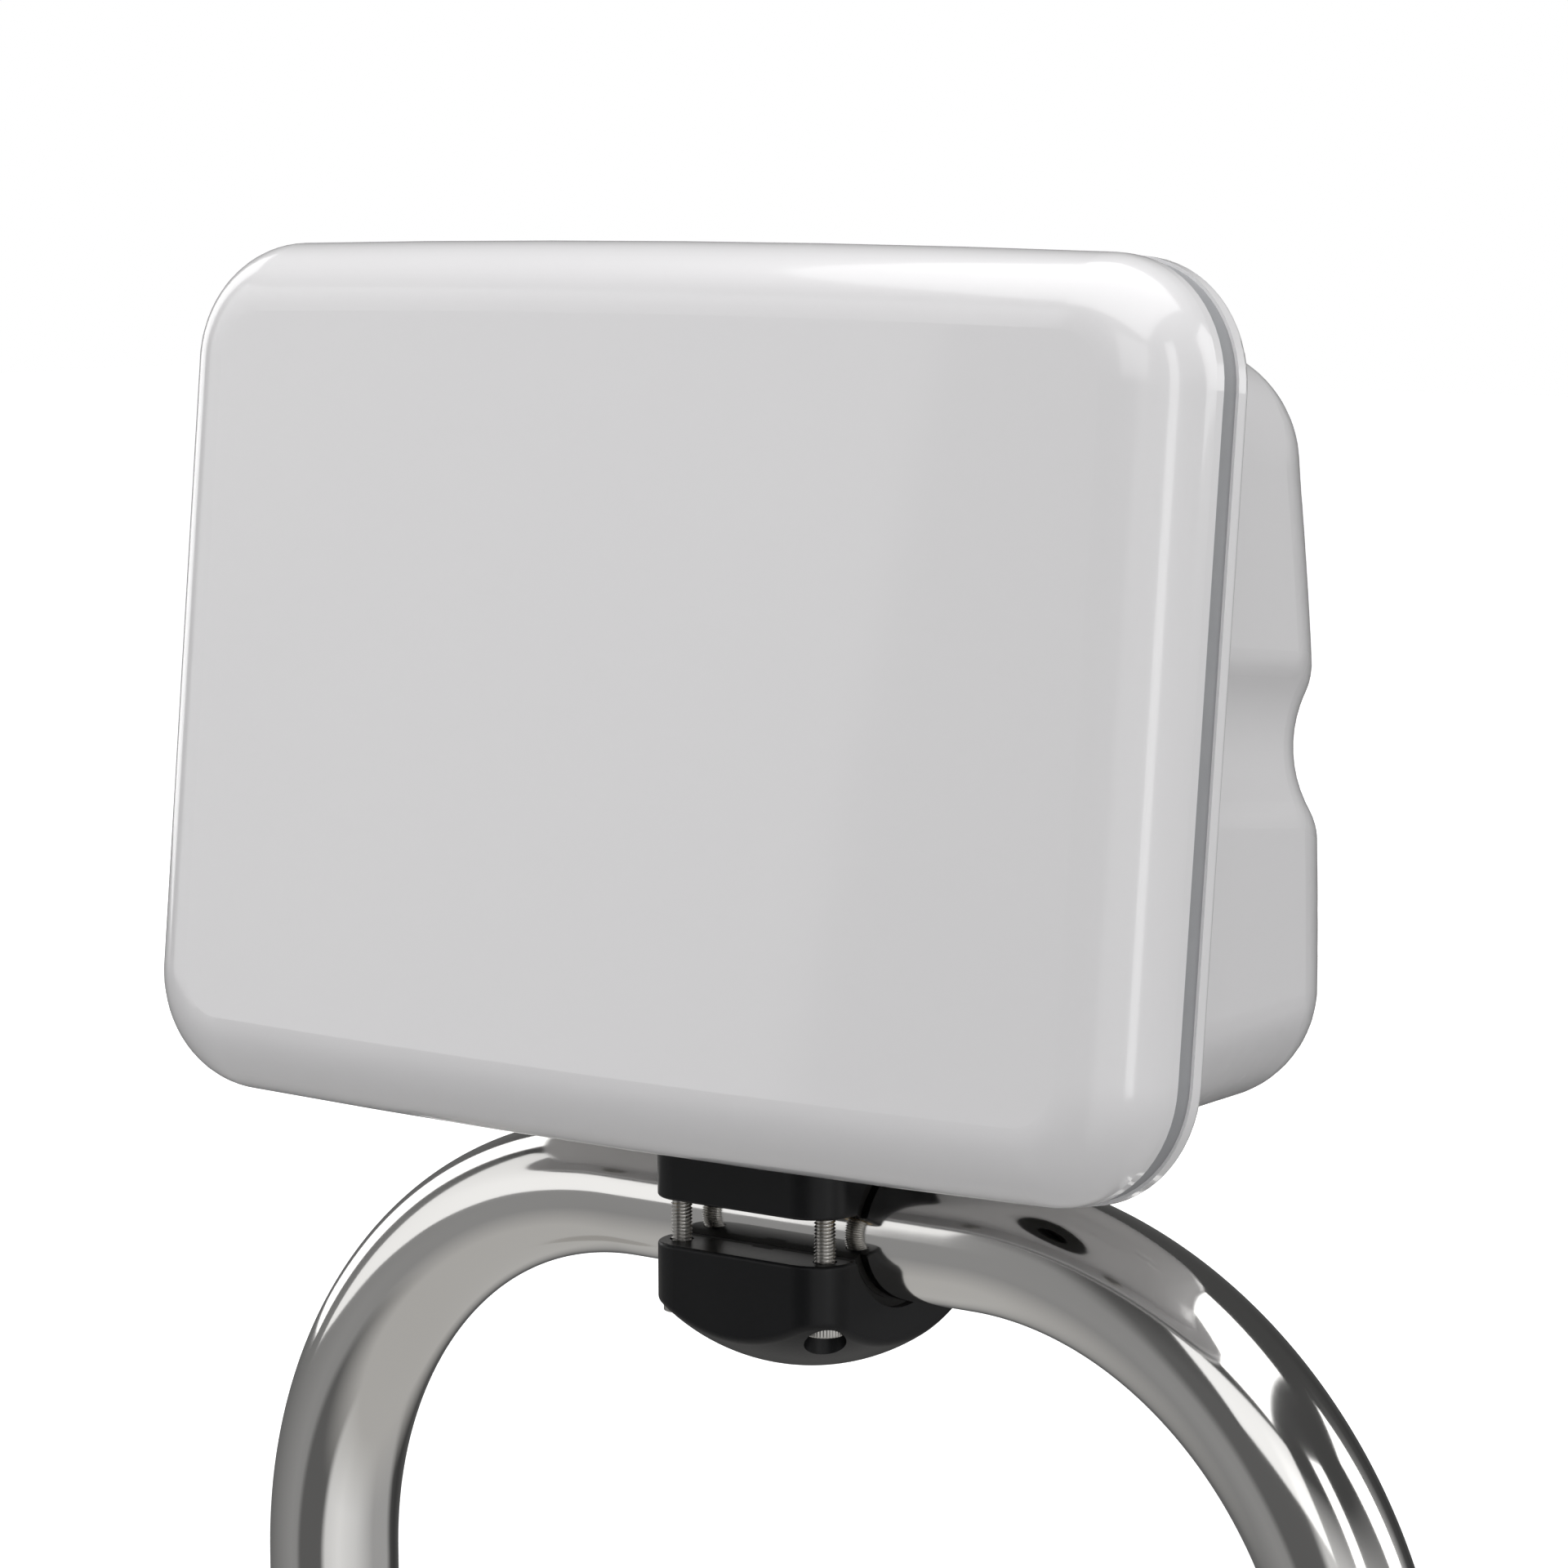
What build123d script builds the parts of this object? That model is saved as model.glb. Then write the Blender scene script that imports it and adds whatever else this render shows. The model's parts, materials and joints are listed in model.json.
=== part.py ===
"""Helm instrument pod clamped to the hoop of a stainless pedestal guard.

Millimetres, +Z up.  The origin lies midway between the cut ends of the hoop's two legs.
X runs along the hoop's level top tube, and -Y is the side that the pod's face looks to.
The pod leans back about the tube's axis, so its pieces are drawn on planes of a leaning frame.
"""

from build123d import *
from math import cos, radians, sin, tan
import os

os.makedirs("parts", exist_ok=True)

# ---- guard hoop: 1 1/4 inch tube on 12 inch centres ----
TUBE_R = 31.75 / 2
TUBE_WALL = 1.65
LEG_CENTRES = 304.8
BEND_R = 103.0
LEG_STUB = 27.0
TUBE_Z = LEG_STUB + BEND_R
TOP_HALF = LEG_CENTRES / 2 - BEND_R

# ---- pod: outline of the face, and depths measured from the tube's axis ----
LEAN = 6.1
POD_W = 281.0
POD_H = 198.0
POD_MID = 116.3
POD_CORNER = 27.5
POD_CROWN = 1.9
FACE_Y = -81.5
SEAM_Y = -62.0
FLANGE_FRONT_Y = -56.7
FLANGE_BACK_Y = -52.4
EDGE_R = 17.0
WALL = 4.0
FLANGE_EDGE_R = 1.8

# ---- tub behind the flange ----
TUB_INSET = 12.4
TUB_CORNER = 25.0
TUB_REAR_R = 23.0
TUB_END_Y = 60.0
TUB_LOW = (36.4, -100.0)
TUB_HALFWAY = (24.0, 0.0)
TUB_HIGH = (-6.4, 100.0)
GROOVE_R = 28.0
GROOVE_DEPTH = 4.6
GROOVE_LIP_R = 12.0

# ---- gasket, locating rim and the screws that hold the two shells together ----
SEAL_RECESS = 0.7
SEAL_IN = 12.4
RIM_OUT = 13.0
RIM_IN = 16.0
RIM_FRONT_Y = -65.5
SCREW_INSET = 7.2
SCREW_XS = (-84.0, -28.0, 28.0, 84.0)
SCREW_ZS = (-32.0, 32.0)
COVER_SCREW_R = 1.75
COVER_HOLE_R = 2.0
COVER_HEAD_R = 3.4
COVER_HEAD_H = 2.2
COVER_SINK = 1.6
COVER_SINK_R = 3.8
WASHER_H = 0.6
WASHER_OVERHANG = 0.2
BOSS_R = 4.4
BOSS_DEPTH = 8.0
INSERT_R = 2.6
INSERT_LEN = 6.0
COVER_SCREW_TIP_Y = -68.0
CROSS = (3.4, 0.8)
CROSS_DEEP = 1.2

# ---- clamp: two jaws round the tube, drawn together by four M5 bolts ----
JAW_X = 53.0
JAW_Y = 58.0
JAW_CORNER = 9.5
UPPER_Z = 5.4
LOWER_Z = -4.9
SADDLE_R = 17.9
DOME_R = 48.0
DOME_DROP = 34.0
JAW_EDGE_R = 2.5
LINER_GAP = 0.05
LINER_RECESS = 2.0
LINER_KEY = 6.0
LINER_KEY_DEPTH = 1.0
BOLT_X = 20.8
BOLT_Y = 21.3
BOLT_R = 2.45
BOLT_HOLE_R = 2.75
BOLT_LEN = 35.0
HEAD_R = 4.25
HEAD_H = 5.0
HEAD_SEAT_Z = -16.4
SINK_R = 4.75
SOCKET_ACROSS = 4.0
SOCKET_DEEP = 2.6
BOLT_CHAMFER = 0.4
BOLT_WASHER_R = 4.6
BOLT_WASHER_H = 0.5
CLAMP_INSERT_R = 3.5
CLAMP_INSERT_TOP = 18.0
CLAMP_INSERT_BORE = 2.52
BOLT_WELL_TOP = 24.0
JAW_LIP_R = 0.8

# ---- the upper jaw's fixing through the tub's floor ----
GASKET_H = 1.5
GASKET_SIZE = (44.0, 38.0)
FIXING_MID_Y = -5.0
FIXING_X = 13.0
FIXING_Y = 10.0
PLATE_SIZE = (70.0, 36.0)
PLATE_H = 3.0
PLATE_CORNER = 4.0
JAW_SCREW_R = 2.45
JAW_SCREW_HOLE_R = 2.75
JAW_SCREW_HEAD_R = 4.6
JAW_SCREW_HEAD_H = 2.8
JAW_SCREW_LEN = 20.0
JAW_INSERT_R = 3.4
JAW_INSERT_LEN = 10.0

# ---- cable entry in the tub's floor ----
CABLE_X = 66.0
CABLE_Y = -28.0
CABLE_HOLE_R = 9.0
GROMMET_R = 12.0
GROMMET_LIP = 2.0
GROMMET_BORE_R = 5.0

TUBE_MID = Vector(0, 0, TUBE_Z)
POD = Plane(
    origin=TUBE_MID,
    x_dir=(1, 0, 0),
    z_dir=(0, sin(radians(LEAN)), cos(radians(LEAN))),
)

# The tub's draft equals the lean, so its floor stands level over the clamp.
FLOOR_Z = POD.from_local_coords((0, FLANGE_BACK_Y, POD_MID + TUB_INSET - POD_H / 2)).Z - TUBE_Z
FLOOR_TOP_Z = FLOOR_Z + WALL * cos(radians(LEAN))
PLATE_TOP_Z = FLOOR_TOP_Z + PLATE_H
JAW_SCREW_LOW = PLATE_TOP_Z - JAW_SCREW_LEN
JAW_INSERT_LOW = FLOOR_Z - GASKET_H - JAW_INSERT_LEN


def face_plane(y):
    """A plane parallel to the pod's face, centred on it, whose normal points forwards."""
    forwards = -POD.y_dir
    return Plane(POD.from_local_coords((0, y, POD_MID)), POD.x_dir, forwards)


def side_plane():
    """The pod's plane of symmetry: local x is rearwards and local y is up, from mid-height."""
    return Plane(POD.from_local_coords((0, 0, POD_MID)), POD.y_dir, POD.x_dir)


def level(z):
    """A level plane, by its height above the tube's axis."""
    return Plane((0, 0, TUBE_Z + z))


def bolt_points():
    """The four clamp bolts, in plan."""
    return [(x, y) for x in (-BOLT_X, BOLT_X) for y in (-BOLT_Y, BOLT_Y)]


def fixing_points():
    """The four screws that hold the upper jaw to the tub's floor, in plan."""
    ys = (FIXING_MID_Y - FIXING_Y, FIXING_MID_Y + FIXING_Y)
    return [(x, y) for x in (-FIXING_X, FIXING_X) for y in ys]


def finish(piece, name):
    """Names a finished piece and writes it."""
    piece.part.label = name
    export_step(piece.part, f"parts/{name}.step")


# ======== guard hoop ========
def hoop(radius):
    """A solid bar along the hoop's centreline: leg, bend, level top, bend, leg."""
    half = LEG_CENTRES / 2
    with BuildPart() as bar:
        with BuildLine(Plane.XZ) as centreline:
            left = Line((-half, 0), (-half, LEG_STUB))
            turn = TangentArc(left @ 1, (-TOP_HALF, TUBE_Z), tangent=left % 1)
            top = Line(turn @ 1, (TOP_HALF, TUBE_Z))
            down = TangentArc(top @ 1, (half, LEG_STUB), tangent=top % 1)
            Line(down @ 1, (half, 0))
        with BuildSketch(Plane((-half, 0, 0))):
            Circle(radius)
        sweep(path=centreline.wires()[0])
    return bar.part


with BuildPart() as guard_hoop:
    add(hoop(TUBE_R))
    add(hoop(TUBE_R - TUBE_WALL), mode=Mode.SUBTRACT)
finish(guard_hoop, "guard_hoop")


# ======== pod shells ========
def face_outline(y, inset):
    """The pod's outline: level edges slightly crowned, upright sides, round corners."""
    half_w = POD_W / 2 - inset
    half_h = POD_H / 2 - inset
    edge_h = half_h - POD_CROWN
    with BuildSketch(face_plane(y)) as outline:
        with BuildLine():
            top = ThreePointArc((-half_w, edge_h), (0, half_h), (half_w, edge_h))
            bottom = ThreePointArc((-half_w, -edge_h), (0, -half_h), (half_w, -edge_h))
            Line(top @ 0, bottom @ 0)
            Line(top @ 1, bottom @ 1)
        make_face()
        fillet(outline.vertices(), POD_CORNER - inset)
    return outline.sketch


def front_form(inset):
    """The rounded front of the pod, from the flange's back to the face, grown inwards by inset."""
    depth = FLANGE_BACK_Y - (FACE_Y + inset)
    with BuildPart() as form:
        extrude(face_outline(FLANGE_BACK_Y, inset), amount=depth)
        fillet(form.faces().sort_by(Axis(TUBE_MID, -POD.y_dir))[-1].edges(), EDGE_R - inset)
    return form.part


def slab(y_front, y_back):
    """A block that holds everything between two depths of the pod."""
    with BuildPart() as block:
        with BuildSketch(face_plane(y_back)):
            Rectangle(2 * POD_W, 2 * POD_H)
        extrude(amount=y_back - y_front)
    return block.part


def shell_screw_points():
    """Where the shell screws stand, on a face plane: along the level edges, then up the sides."""
    side_x = POD_W / 2 - SCREW_INSET
    edge_z = POD_H / 2 - SCREW_INSET - 0.5 * POD_CROWN
    level_rows = [(x, side * edge_z) for side in (-1, 1) for x in SCREW_XS]
    upright_rows = [(side * side_x, z) for side in (-1, 1) for z in SCREW_ZS]
    return level_rows + upright_rows


def shell_pegs(y_back, y_front, radius):
    """One round peg at each shell screw, between two depths."""
    with BuildPart() as pegs:
        with BuildSketch(face_plane(y_back)):
            with Locations(*shell_screw_points()):
                Circle(radius)
        extrude(amount=y_back - y_front)
    return pegs.part


# The hollow leaves a boss standing round each shell screw.
with BuildPart() as front_hollow:
    add(front_form(WALL))
    add(shell_pegs(SEAM_Y, SEAM_Y - BOSS_DEPTH, BOSS_R), mode=Mode.SUBTRACT)

with BuildPart() as front_shell:
    add(front_form(0))
    add(front_hollow.part, mode=Mode.SUBTRACT)
    add(shell_pegs(SEAM_Y, SEAM_Y - INSERT_LEN, INSERT_R), mode=Mode.SUBTRACT)
    add(slab(SEAM_Y, FLANGE_BACK_Y + 1), mode=Mode.SUBTRACT)
finish(front_shell, "front_shell")

with BuildPart() as cover_inserts:
    add(shell_pegs(SEAM_Y, SEAM_Y - INSERT_LEN, INSERT_R))
    add(shell_pegs(SEAM_Y, SEAM_Y - INSERT_LEN, COVER_SCREW_R), mode=Mode.SUBTRACT)
finish(cover_inserts, "cover_inserts")

with BuildPart() as face_seal:
    extrude(face_outline(FLANGE_FRONT_Y, SEAL_RECESS), amount=FLANGE_FRONT_Y - SEAM_Y)
    extrude(
        face_outline(FLANGE_FRONT_Y, SEAL_IN),
        amount=FLANGE_FRONT_Y - SEAM_Y,
        mode=Mode.SUBTRACT,
    )
    add(shell_pegs(FLANGE_FRONT_Y, SEAM_Y, COVER_SCREW_R), mode=Mode.SUBTRACT)
finish(face_seal, "face_seal")


def tub_form(inset):
    """The drafted tub, rounded at the rear and closed there by a gently curved wall."""
    start = face_plane(FLANGE_FRONT_Y)
    draft = tan(radians(LEAN))
    grow = (FLANGE_BACK_Y - FLANGE_FRONT_Y) * draft
    shrink = (TUB_END_Y - FLANGE_BACK_Y) * draft
    root_w = POD_W - 2 * (TUB_INSET + inset)
    root_h = POD_H - 2 * (TUB_INSET + inset)
    corner = TUB_CORNER - inset
    with BuildPart() as form:
        with BuildSketch(start):
            RectangleRounded(root_w + 2 * grow, root_h + 2 * grow, corner)
        with BuildSketch(face_plane(TUB_END_Y)):
            RectangleRounded(root_w - 2 * shrink, root_h - 2 * shrink, corner)
        loft()
        with BuildSketch(side_plane()):
            with BuildLine():
                wall = ThreePointArc(
                    (TUB_LOW[0] - inset, TUB_LOW[1]),
                    (TUB_HALFWAY[0] - inset, TUB_HALFWAY[1]),
                    (TUB_HIGH[0] - inset, TUB_HIGH[1]),
                )
                ends = Polyline(
                    wall @ 1,
                    (-POD_H, TUB_HIGH[1]),
                    (-POD_H, TUB_LOW[1]),
                    wall @ 0,
                )
            make_face()
        extrude(amount=POD_W, both=True, mode=Mode.INTERSECT)
        rear = form.faces().sort_by(Axis(TUBE_MID, POD.y_dir))[-1]
        fillet(rear.edges(), TUB_REAR_R - inset)
    return form.part


def groove(radius):
    """A round bar bent round the tub's sides and back at mid-height: it presses in the waist."""
    draft = tan(radians(LEAN))
    stand_off = GROOVE_R - GROOVE_DEPTH
    root_x = POD_W / 2 - TUB_INSET + stand_off
    rear_y = TUB_HALFWAY[0] + stand_off
    rear_x = root_x - (rear_y - FLANGE_BACK_Y) * draft
    mid = Plane(POD.from_local_coords((0, 0, POD_MID)), POD.x_dir, POD.z_dir)
    with BuildPart() as bar:
        with BuildLine(mid) as path:
            FilletPolyline(
                (-root_x, FLANGE_BACK_Y),
                (-rear_x, rear_y),
                (rear_x, rear_y),
                (root_x, FLANGE_BACK_Y),
                radius=TUB_REAR_R + stand_off,
            )
        with BuildSketch(Plane(path.line @ 0, z_dir=path.line % 0)):
            Circle(radius)
        sweep(path=path.wires()[0])
    return bar.part


def on_groove_lip(edge):
    """True for an edge along the groove's mouth, and not one across it or in the flange."""
    place = POD.to_local_coords(edge.center())
    return place.Y > FLANGE_BACK_Y and abs(place.Z - POD_MID) > GROOVE_LIP_R


with BuildPart() as tub_outside:
    add(tub_form(0))
    add(groove(GROOVE_R), mode=Mode.SUBTRACT)
    fillet(tub_outside.edges(Select.LAST).filter_by(on_groove_lip), GROOVE_LIP_R)

with BuildPart() as tub_inside:
    add(tub_form(WALL))
    add(groove(GROOVE_R + WALL), mode=Mode.SUBTRACT)

with BuildPart() as rear_shell:
    extrude(face_outline(FLANGE_BACK_Y, 0), amount=FLANGE_BACK_Y - FLANGE_FRONT_Y)
    back_face = rear_shell.faces().sort_by(Axis(TUBE_MID, POD.y_dir))[-1]
    fillet(back_face.edges(), FLANGE_EDGE_R)
    add(tub_outside.part)
    add(tub_inside.part, mode=Mode.SUBTRACT)
    rim_reach = FLANGE_FRONT_Y - RIM_FRONT_Y
    extrude(
        face_outline(FLANGE_FRONT_Y, RIM_OUT) - face_outline(FLANGE_FRONT_Y, RIM_IN),
        amount=rim_reach,
    )
    add(shell_pegs(FLANGE_BACK_Y, FLANGE_FRONT_Y, COVER_HOLE_R), mode=Mode.SUBTRACT)
    add(
        shell_pegs(FLANGE_BACK_Y, FLANGE_BACK_Y - COVER_SINK, COVER_SINK_R),
        mode=Mode.SUBTRACT,
    )
    with BuildSketch(level(FLOOR_Z - WALL)):
        with Locations((CABLE_X, CABLE_Y)):
            Circle(CABLE_HOLE_R)
        with Locations(*fixing_points()):
            Circle(JAW_SCREW_HOLE_R)
    extrude(amount=3 * WALL, mode=Mode.SUBTRACT)
finish(rear_shell, "rear_shell")

# The washers lie on the sunk seats, and the pan heads on the washers.
seat_y = FLANGE_BACK_Y - COVER_SINK
head_y = seat_y + WASHER_H
with BuildPart() as cover_washers:
    add(shell_pegs(head_y, seat_y, COVER_HEAD_R + WASHER_OVERHANG))
    add(shell_pegs(head_y, seat_y, COVER_SCREW_R), mode=Mode.SUBTRACT)
finish(cover_washers, "cover_washers")

with BuildPart() as cover_screws:
    add(shell_pegs(head_y, COVER_SCREW_TIP_Y, COVER_SCREW_R))
    add(shell_pegs(head_y + COVER_HEAD_H, head_y, COVER_HEAD_R))
    with BuildSketch(face_plane(head_y + COVER_HEAD_H)):
        with Locations(*shell_screw_points()):
            Rectangle(*CROSS)
            Rectangle(*reversed(CROSS))
    extrude(amount=CROSS_DEEP, mode=Mode.SUBTRACT)
finish(cover_screws, "cover_screws")


# ======== clamp ========
def upright_pegs(points, z_low, z_high, radius):
    """Round upright pegs at the given points, between two heights above the tube's axis."""
    with BuildPart() as pegs:
        with BuildSketch(level(z_low)):
            with Locations(*points):
                Circle(radius)
        extrude(amount=z_high - z_low)
    return pegs.part


def saddle_bar(radius, length):
    """A bar along the tube's axis, centred on the clamp."""
    with BuildPart() as bar:
        with BuildSketch(Plane(TUBE_MID, z_dir=(1, 0, 0))):
            Circle(radius)
        extrude(amount=length / 2, both=True)
    return bar.part


def saddle_cut():
    """What a jaw leaves free round the tube: the liner's seat and the groove for its key."""
    with BuildPart() as cut:
        add(saddle_bar(SADDLE_R, JAW_X + 2))
        add(saddle_bar(SADDLE_R + LINER_KEY_DEPTH, LINER_KEY))
    return cut.part


def liner_sleeve():
    """The whole rubber sleeve, with its key rib, before it is halved."""
    with BuildPart() as sleeve:
        add(saddle_bar(SADDLE_R, JAW_X - 2 * LINER_RECESS))
        add(saddle_bar(SADDLE_R + LINER_KEY_DEPTH, LINER_KEY))
        add(saddle_bar(TUBE_R + LINER_GAP, JAW_X), mode=Mode.SUBTRACT)
    return sleeve.part


with BuildPart() as upper_jaw:
    with BuildSketch(level(UPPER_Z)):
        RectangleRounded(JAW_X, JAW_Y, JAW_CORNER)
    extrude(amount=FLOOR_Z + 2 * WALL - UPPER_Z)
    fillet(upper_jaw.faces().sort_by(Axis.Z)[0].edges(), JAW_LIP_R)
    add(tub_form(0), mode=Mode.SUBTRACT)
    add(saddle_cut(), mode=Mode.SUBTRACT)
    with BuildSketch(level(FLOOR_Z - GASKET_H)):
        with Locations((0, FIXING_MID_Y)):
            Rectangle(*GASKET_SIZE)
    extrude(amount=2 * GASKET_H, mode=Mode.SUBTRACT)
    add(upright_pegs(bolt_points(), UPPER_Z, BOLT_WELL_TOP, BOLT_HOLE_R), mode=Mode.SUBTRACT)
    add(
        upright_pegs(bolt_points(), UPPER_Z, CLAMP_INSERT_TOP, CLAMP_INSERT_R),
        mode=Mode.SUBTRACT,
    )
    add(
        upright_pegs(fixing_points(), JAW_INSERT_LOW, FLOOR_Z, JAW_INSERT_R),
        mode=Mode.SUBTRACT,
    )
    add(
        upright_pegs(fixing_points(), JAW_SCREW_LOW - 1, FLOOR_Z, JAW_SCREW_HOLE_R),
        mode=Mode.SUBTRACT,
    )
finish(upper_jaw, "upper_jaw")

with BuildPart() as lower_jaw:
    with BuildSketch(level(-DOME_DROP)):
        RectangleRounded(JAW_X, JAW_Y, JAW_CORNER)
    extrude(amount=LOWER_Z + DOME_DROP)
    with Locations(Location((0, 0, TUBE_Z + DOME_R - DOME_DROP))):
        Sphere(DOME_R, mode=Mode.INTERSECT)
    fillet(lower_jaw.faces().sort_by(Axis.Z)[0].edges(), JAW_EDGE_R)
    fillet(lower_jaw.faces().sort_by(Axis.Z)[-1].edges(), JAW_LIP_R)
    add(saddle_cut(), mode=Mode.SUBTRACT)
    add(upright_pegs(bolt_points(), -DOME_DROP, LOWER_Z, BOLT_HOLE_R), mode=Mode.SUBTRACT)
    add(
        upright_pegs(bolt_points(), -DOME_DROP, HEAD_SEAT_Z + BOLT_WASHER_H, SINK_R),
        mode=Mode.SUBTRACT,
    )
finish(lower_jaw, "lower_jaw")

with BuildPart() as upper_liner:
    add(liner_sleeve())
    split(bisect_by=level(UPPER_Z), keep=Keep.TOP)
finish(upper_liner, "upper_liner")

with BuildPart() as lower_liner:
    add(liner_sleeve())
    split(bisect_by=level(LOWER_Z), keep=Keep.BOTTOM)
finish(lower_liner, "lower_liner")

with BuildPart() as clamp_inserts:
    add(upright_pegs(bolt_points(), UPPER_Z, CLAMP_INSERT_TOP, CLAMP_INSERT_R))
    add(
        upright_pegs(bolt_points(), UPPER_Z, CLAMP_INSERT_TOP, CLAMP_INSERT_BORE),
        mode=Mode.SUBTRACT,
    )
finish(clamp_inserts, "clamp_inserts")

with BuildPart() as bolt_washers:
    washer_top = HEAD_SEAT_Z + BOLT_WASHER_H
    add(upright_pegs(bolt_points(), HEAD_SEAT_Z, washer_top, BOLT_WASHER_R))
    add(
        upright_pegs(bolt_points(), HEAD_SEAT_Z, washer_top, BOLT_HOLE_R),
        mode=Mode.SUBTRACT,
    )
finish(bolt_washers, "bolt_washers")


def clamp_bolt(x, y):
    """A socket-head M5 bolt, head down in the lower jaw and tip up in the upper one."""
    with BuildPart() as bolt:
        with BuildSketch(Plane((x, y, TUBE_Z + HEAD_SEAT_Z))):
            Circle(BOLT_R)
        extrude(amount=BOLT_LEN)
        with BuildSketch(Plane((x, y, TUBE_Z + HEAD_SEAT_Z))):
            Circle(HEAD_R)
        extrude(amount=-HEAD_H)
        chamfer(bolt.edges().group_by(Axis.Z)[0], BOLT_CHAMFER)
        chamfer(bolt.edges().group_by(Axis.Z)[-1], BOLT_CHAMFER)
        with BuildSketch(Plane((x, y, TUBE_Z + HEAD_SEAT_Z - HEAD_H))):
            RegularPolygon(SOCKET_ACROSS / 2, 6, major_radius=False)
        extrude(amount=SOCKET_DEEP, mode=Mode.SUBTRACT)
    return bolt


for number, (x, y) in enumerate(bolt_points(), start=1):
    finish(clamp_bolt(x, y), f"clamp_bolt_{number}")

# ======== the upper jaw's fixing through the tub's floor ========
with BuildPart() as jaw_gasket:
    with BuildSketch(level(FLOOR_Z - GASKET_H)):
        with Locations((0, FIXING_MID_Y)):
            Rectangle(*GASKET_SIZE)
        with Locations(*fixing_points()):
            Circle(JAW_SCREW_HOLE_R, mode=Mode.SUBTRACT)
    extrude(amount=GASKET_H)
finish(jaw_gasket, "jaw_gasket")

with BuildPart() as backing_plate:
    with BuildSketch(level(FLOOR_TOP_Z)):
        with Locations((0, FIXING_MID_Y)):
            RectangleRounded(*PLATE_SIZE, PLATE_CORNER)
        with Locations(*fixing_points()):
            Circle(JAW_SCREW_HOLE_R, mode=Mode.SUBTRACT)
    extrude(amount=PLATE_H)
finish(backing_plate, "backing_plate")

with BuildPart() as jaw_screws:
    add(upright_pegs(fixing_points(), JAW_SCREW_LOW, PLATE_TOP_Z, JAW_SCREW_R))
    add(
        upright_pegs(
            fixing_points(), PLATE_TOP_Z, PLATE_TOP_Z + JAW_SCREW_HEAD_H, JAW_SCREW_HEAD_R
        )
    )
finish(jaw_screws, "jaw_screws")

with BuildPart() as jaw_inserts:
    add(upright_pegs(fixing_points(), JAW_INSERT_LOW, FLOOR_Z - GASKET_H, JAW_INSERT_R))
    add(
        upright_pegs(fixing_points(), JAW_INSERT_LOW, FLOOR_Z, JAW_SCREW_R),
        mode=Mode.SUBTRACT,
    )
finish(jaw_inserts, "jaw_inserts")

with BuildPart() as cable_grommet:
    entry = [(CABLE_X, CABLE_Y)]
    add(upright_pegs(entry, FLOOR_Z - GROMMET_LIP, FLOOR_Z, GROMMET_R))
    add(upright_pegs(entry, FLOOR_Z, FLOOR_TOP_Z, CABLE_HOLE_R))
    add(upright_pegs(entry, FLOOR_TOP_Z, FLOOR_TOP_Z + GROMMET_LIP, GROMMET_R))
    add(
        upright_pegs(entry, FLOOR_Z - GROMMET_LIP, FLOOR_TOP_Z + GROMMET_LIP, GROMMET_BORE_R),
        mode=Mode.SUBTRACT,
    )
finish(cable_grommet, "cable_grommet")
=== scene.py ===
# %% [markdown]
# # An instrument pod on the hoop of a pedestal guard
#
# At the helm of a sailing yacht a bent stainless tube guards the compass pedestal. This pod is
# clamped to the level top of that tube and carries the helm's instruments in its face. It is two
# glossy white shells with a grey seal between them, a black two-part clamp with four bolts, and the
# polished hoop. The CAD model already holds every part at its real size, so this lesson is about
# looks: what each surface is made of, which parts deserve finer modelling than the CAD gives them,
# and how to light white plastic and a mirror-bright tube together.

import bmesh
import bpy
import json
import math
from mathutils import Matrix, Vector


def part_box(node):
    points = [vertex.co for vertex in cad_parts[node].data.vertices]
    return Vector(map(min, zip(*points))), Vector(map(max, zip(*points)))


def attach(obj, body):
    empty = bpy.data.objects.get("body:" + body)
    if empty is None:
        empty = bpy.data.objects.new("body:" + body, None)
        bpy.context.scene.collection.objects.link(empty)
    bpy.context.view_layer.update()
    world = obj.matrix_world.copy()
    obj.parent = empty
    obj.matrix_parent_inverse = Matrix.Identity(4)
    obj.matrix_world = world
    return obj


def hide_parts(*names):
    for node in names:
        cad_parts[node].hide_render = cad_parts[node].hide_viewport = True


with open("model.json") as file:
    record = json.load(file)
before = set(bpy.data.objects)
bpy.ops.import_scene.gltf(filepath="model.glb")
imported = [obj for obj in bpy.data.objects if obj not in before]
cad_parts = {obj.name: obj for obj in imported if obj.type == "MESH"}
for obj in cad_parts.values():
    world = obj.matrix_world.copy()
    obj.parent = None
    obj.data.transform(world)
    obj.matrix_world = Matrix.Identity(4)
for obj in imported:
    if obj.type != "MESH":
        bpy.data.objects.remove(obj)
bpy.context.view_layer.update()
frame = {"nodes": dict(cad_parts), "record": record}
nodes = frame["nodes"]

# %% [markdown]
# ## Reading sizes from the frame
#
# Nothing here repeats a size that the CAD already knows. The tube's radius, the hoop's legs and the
# height of its top all follow from the box of one node. A metre is a large unit for a screw, so a
# small constant turns millimetres into metres where a size belongs to this script alone.

# %% Sizes of the hoop
MM = 0.001
hoop_low, hoop_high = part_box("guard_hoop")
TUBE_R = (hoop_high.y - hoop_low.y) / 2
TUBE_Z = hoop_high.z - TUBE_R
LEG_X = hoop_high.x - TUBE_R
print("tube radius", round(TUBE_R, 5), "top axis at", round(TUBE_Z, 4), "legs at", round(LEG_X, 4))

# %% [markdown]
# ## A small language for materials
#
# A node tree is quick to draw by hand and slow to write in code. Two things make it readable. One
# class wraps a socket, so that `noise * 0.2 + 0.5` adds its own Math nodes. Another starts a
# finish, with one method for every other kind of node. Every finish below is then a few lines of
# arithmetic on patterns.

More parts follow.
